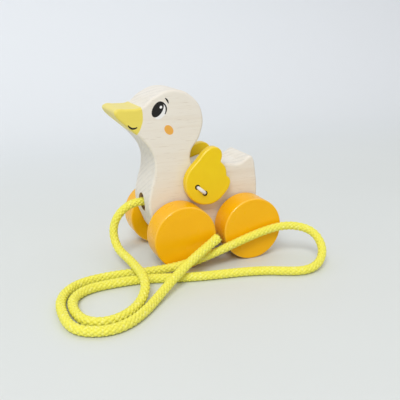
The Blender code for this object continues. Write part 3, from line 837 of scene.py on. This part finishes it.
cord_line[:, 2] = np.maximum(cord_line[:, 2], cord_crowns / 2 + floor_gap)
cord_finish, shader, at = new_finish("lemon_yarn")
run, number, crown = at.stored("yarn_place", "Vector").axes()
across_yarn = at.stored("yarn_across", "Fac")
along_yarn = at.node("ShaderNodeCombineXYZ", {},
                     {"X": across_yarn * 7, "Y": run * 300, "Z": number * 3.7})
filaments = along_yarn.noise((1, 1, 1), detail=2)
threads = at.noise((1700, 1700, 1700), detail=2)
tone = at.noise((60, 60, 60), detail=2).rise(0.3, 0.7)
# Where a yarn dips under its neighbour it is painted a darker, deeper lemon: painted shade in the
# braid's grooves.
lemon_yarn = crown.rise(0.1, 0.95).mix(colour(0.85, 0.785, 0.028), colour(0.88, 0.85, 0.125))
lemon_yarn = (threads.rise(0.35, 0.75) * 0.3).mix(lemon_yarn, colour(0.88, 0.84, 0.07))
# Small pale flecks on the yarn crowns: painted glints of the shiny synthetic yarn.
painted_glints = at.noise((480, 480, 480), detail=2, seed=(6, 3, 8)).rise(0.54, 0.68) * crown.rise(0.3, 0.9)
lemon_yarn = (painted_glints * 0.6).mix(lemon_yarn, colour(0.96, 0.94, 0.32))
lemon_yarn = ((1 - filaments.rise(0.3, 0.5)) * 0.25).mix(lemon_yarn, colour(0.74, 0.66, 0.02))
feed(shader, Base_Color=(tone * 0.25).mix(lemon_yarn, colour(0.84, 0.76, 0.05)),
     Roughness=0.40 + threads * 0.2 - painted_glints * 0.1,
     Normal=(filaments + threads * 0.3).bump(0.6, 0.16 * mm))
cord_braid = {"Diameter": cord_crowns, "Pairs": 6, "Pitch": 16.6 * mm, "Step": 0.52 * mm,
              "Yarn width": 0.90 * mm, "Yarn height": 0.62 * mm, "Wave": 0.22 * mm, "Flare": 0.3 * mm,
              "Loose fibres": 70, "Fibre length": 1.6 * mm, "Fibre radius": 0.07 * mm}
cord_run = np.arange(len(cord_line)) * cord_spacing
gripped = np.clip(1 - cord_run / cord_split, 0, 1)
loosened = np.clip(1 - cord_run[::-1] / loose_length, 0, 1)
fullness = 1 - (1 - cord_diameter / cord_crowns) * gripped + loose_swell * loosened
cord = braided("braided_pull_cord", cord_line, cord_finish, fullness, **cord_braid)
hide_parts("pull_cord")
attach(cord, "duck")


# The cord's knot
# The same cord runs on through the breast bore and ends in a stopper knot. The knot sits pulled up hard
# in the belly recess and is too thick to pass into the bore.
knot_size = 2 * mm
knot_depth = 2.1 * mm
knot_tightness = 0.84
knot_turns = np.linspace(math.pi + 0.3, 3 * math.pi - 0.75, 22)
bore_stations = (cord_split + touch_gap, 14 * mm, 20 * mm, 26 * mm)
tighten_depth = 17 * mm
tighten_length = 8 * mm
# The knot's curve rises three sizes above its centre, to the height at which the bore meets the recess.
knot_centre = Vector((recess_x, 0, 0))
knot_centre.z = (cord_mouth + into_breast * (recess_x - cord_mouth.x)).z - 3 * knot_size
knot_points = [cord_mouth + into_breast * depth for depth in bore_stations]
for t in knot_turns:
    sideways = knot_size * (math.sin(t) + 2 * math.sin(2 * t))
    upward = knot_size * (2 * math.cos(2 * t) - math.cos(t))
    knot_points.append(knot_centre + Vector((sideways, -knot_depth * math.sin(3 * t), upward)))
knot_line = smooth_line([tuple(p) for p in knot_points], cord_spacing)
tighten_from = (cord_mouth + into_breast * tighten_depth).x
pulled = np.clip((knot_line[:, 0] - tighten_from) / tighten_length, 0, 1)
pulled = np.maximum.accumulate(pulled)
knot_braid = cord_braid | {"Diameter": cord_diameter, "Loose fibres": 0}
knot = braided("cord_knot", knot_line, cord_finish, 1 - (1 - knot_tightness) * pulled, **knot_braid)
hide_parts("pull_cord_knot")
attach(knot, "duck")


# The floor, the light and the camera
# A pale sweep that curves up behind the toy, one big soft light from the upper left and a faint one
# overhead, and the camera where the photograph was taken.
floor_front = -0.9
floor_half = 1.5
sweep_start = 0.30
sweep_radius = 0.25
sweep_steps = 16
backdrop_top = 1.2
backdrop_from = 0.05
floor_points = [(floor_front, 0), (sweep_start, 0)]
floor_points += [(sweep_start + sweep_radius * math.sin(a), sweep_radius * (1 - math.cos(a)))
                 for a in np.linspace(0, math.pi / 2, sweep_steps)[1:]]
floor_points.append((sweep_start + sweep_radius, backdrop_top))
floor_verts = [(side * floor_half, y, z) for y, z in floor_points for side in (-1, 1)]
floor_faces = [(2 * i, 2 * i + 1, 2 * i + 3, 2 * i + 2) for i in range(len(floor_points) - 1)]
floor_mesh = bpy.data.meshes.new("floor_sweep")
floor_mesh.from_pydata(floor_verts, [], floor_faces)
floor_mesh.shade_smooth()
floor = place("floor_sweep", floor_mesh)
floor_finish, shader, at = new_finish("pale_floor")
dust = at.noise((9, 9, 9), detail=3)
pale = dust.mix(colour(0.67, 0.705, 0.695), colour(0.695, 0.73, 0.72))
backdrop = at.axes()[1].rise(backdrop_from, sweep_start + sweep_radius)
feed(shader, Base_Color=backdrop.mix(pale, colour(0.79, 0.835, 0.88)), Roughness=0.6)
coat(floor_mesh, floor_finish)

world = bpy.data.worlds.new("soft_room")
scene.world = world
world.use_nodes = True
background = world.node_tree.nodes["Background"]
rays = world.node_tree.nodes.new("ShaderNodeLightPath").outputs
seen, mirrored, through_glass = (Wire(world.node_tree, rays[f"Is {kind} Ray"])
                                 for kind in ("Camera", "Glossy", "Transmission"))
in_view = seen.most(mirrored).most(through_glass)
feed(background, Color=in_view.mix(colour(0.592, 0.556, 0.538), colour(0.76, 0.80, 0.83)), Strength=1.0)


def softbox(name, location, aim, width, watts, tint):
    lamp = bpy.data.lights.new(name, "AREA")
    lamp.size = width
    lamp.energy = watts
    lamp.color = tint
    item = place(name, lamp)
    item.location = location
    item.rotation_euler = (Vector(aim) - Vector(location)).to_track_quat("-Z", "Y").to_euler()


softbox("window", location=(-0.60, -0.87, 1.185), aim=(0, 0, 0.03), width=0.63, watts=12.9,
        tint=(0.965, 0.985, 1.0))
softbox("overhead", location=(0.35, 0.20, 0.95), aim=(0.05, 0.2, 0.05), width=0.9, watts=1.0,
        tint=(1.0, 0.99, 0.97))

camera_data = bpy.data.cameras.new("camera")
camera_data.sensor_width = 36
camera_data.lens = 52.12
camera_data.clip_start = 0.01
camera = place("camera", camera_data)
camera.location = (-0.1173, -0.2978, 0.1273)
camera_aim = Vector((0.00767, 0, 0.02858))
camera.rotation_euler = (camera_aim - camera.location).to_track_quat("-Z", "Y").to_euler()
scene.camera = camera
scene.view_settings.view_transform = "Standard"
